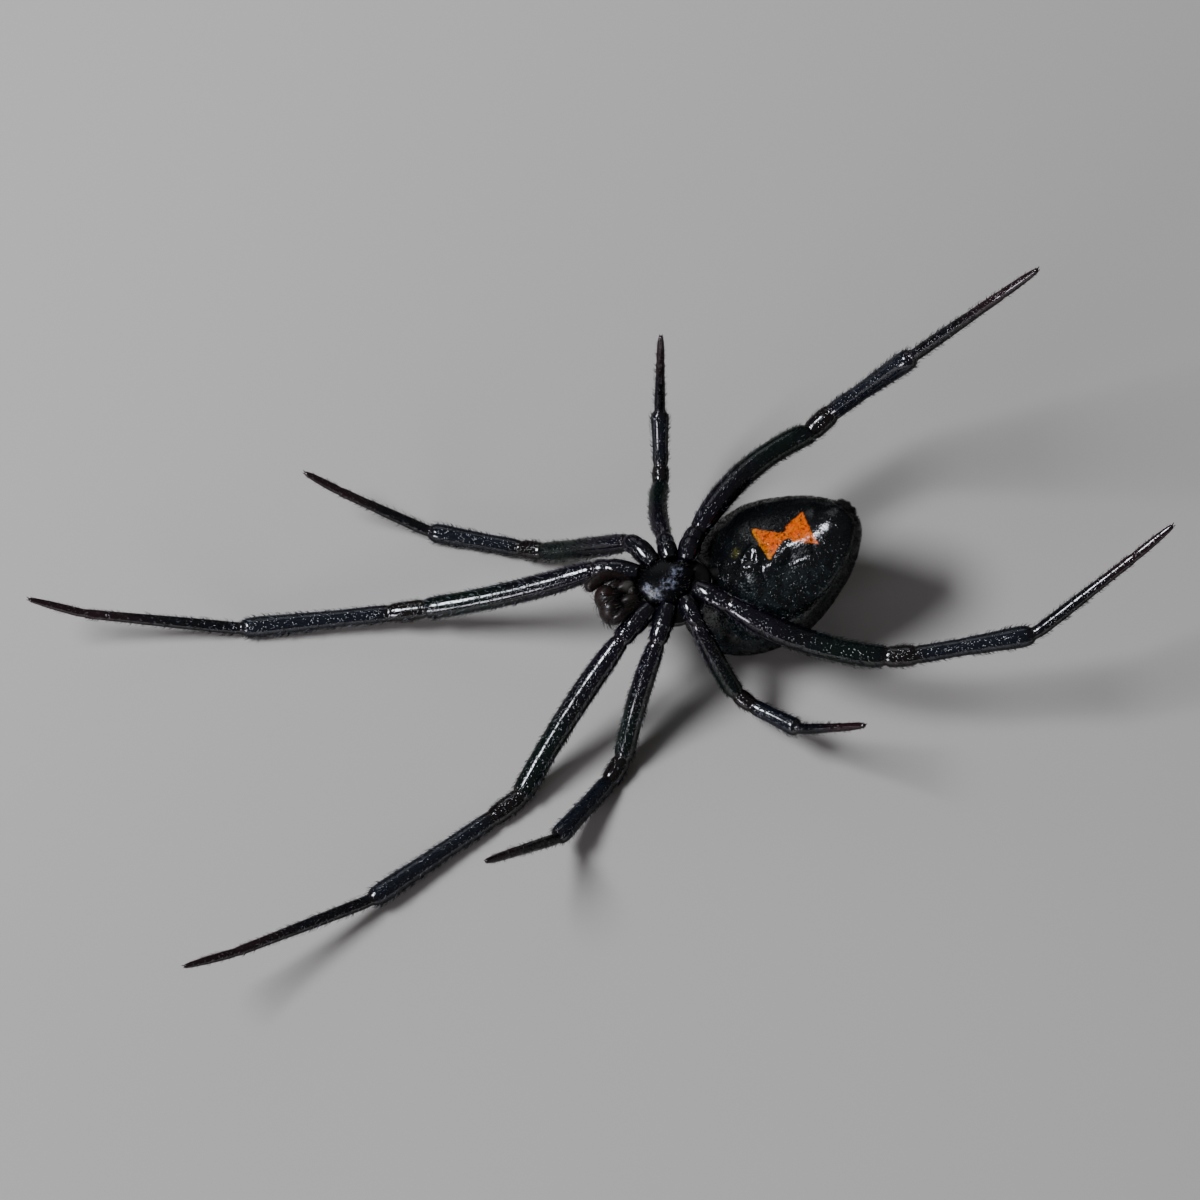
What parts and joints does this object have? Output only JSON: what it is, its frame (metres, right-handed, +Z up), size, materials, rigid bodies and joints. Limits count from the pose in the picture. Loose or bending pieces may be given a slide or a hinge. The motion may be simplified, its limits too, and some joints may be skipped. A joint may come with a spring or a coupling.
{
  "type": "black widow spider",
  "caption": "Life-size adult female black widow lying on its back with its legs reaching out and up, and a red-orange hourglass mark on the underside of its glossy black abdomen.",
  "frame": {"origin": "middle of the small flat on the back of the abdomen that the spider lies on, at floor level", "axes": "+X from the head towards the tail, +Y towards the spider's left, +Z up from the floor, which is towards the belly"},
  "size_m": [0.0425, 0.02, 0.0136],
  "materials": {
    "black_shell": "glossy black shell",
    "brown_shell": "glossy dark brown shell",
    "pale_joint": "satin brown joint skin",
    "eye_gloss": "clear glossy bead"
  },
  "bodies": {
    "root": {"prosoma": "black_shell", "sternum": "black_shell", "mouth_plates": "brown_shell", "abdomen": "black_shell", "pedicel": "pale_joint", "chelicera_left": "brown_shell", "chelicera_right": "brown_shell", "leg_left_1_hip": "black_shell", "leg_left_1_femur": "black_shell", "leg_left_1_shin": "black_shell", "leg_left_1_foot": "black_shell", "leg_left_2_hip": "black_shell", "leg_left_2_femur": "black_shell", "leg_left_2_shin": "black_shell", "leg_left_2_foot": "black_shell", "leg_left_3_hip": "black_shell", "leg_left_3_femur": "black_shell", "leg_left_3_shin": "black_shell", "leg_left_3_foot": "black_shell", "leg_left_4_hip": "black_shell", "leg_left_4_femur": "black_shell", "leg_left_4_shin": "black_shell", "leg_left_4_foot": "black_shell", "leg_right_1_hip": "black_shell", "leg_right_1_femur": "black_shell", "leg_right_1_shin": "black_shell", "leg_right_1_foot": "black_shell", "leg_right_2_hip": "black_shell", "leg_right_2_femur": "black_shell", "leg_right_2_shin": "black_shell", "leg_right_2_foot": "black_shell", "leg_right_3_hip": "black_shell", "leg_right_3_femur": "black_shell", "leg_right_3_shin": "black_shell", "leg_right_3_foot": "black_shell", "leg_right_4_hip": "black_shell", "leg_right_4_femur": "black_shell", "leg_right_4_shin": "black_shell", "leg_right_4_foot": "black_shell", "palp_left": "brown_shell", "palp_right": "brown_shell", "spinnerets": "brown_shell", "eye_front_inner_left": "eye_gloss", "eye_front_inner_right": "eye_gloss", "eye_front_outer_left": "eye_gloss", "eye_front_outer_right": "eye_gloss", "eye_back_inner_left": "eye_gloss", "eye_back_inner_right": "eye_gloss", "eye_back_outer_left": "eye_gloss", "eye_back_outer_right": "eye_gloss"}
  },
  "joints": []
}
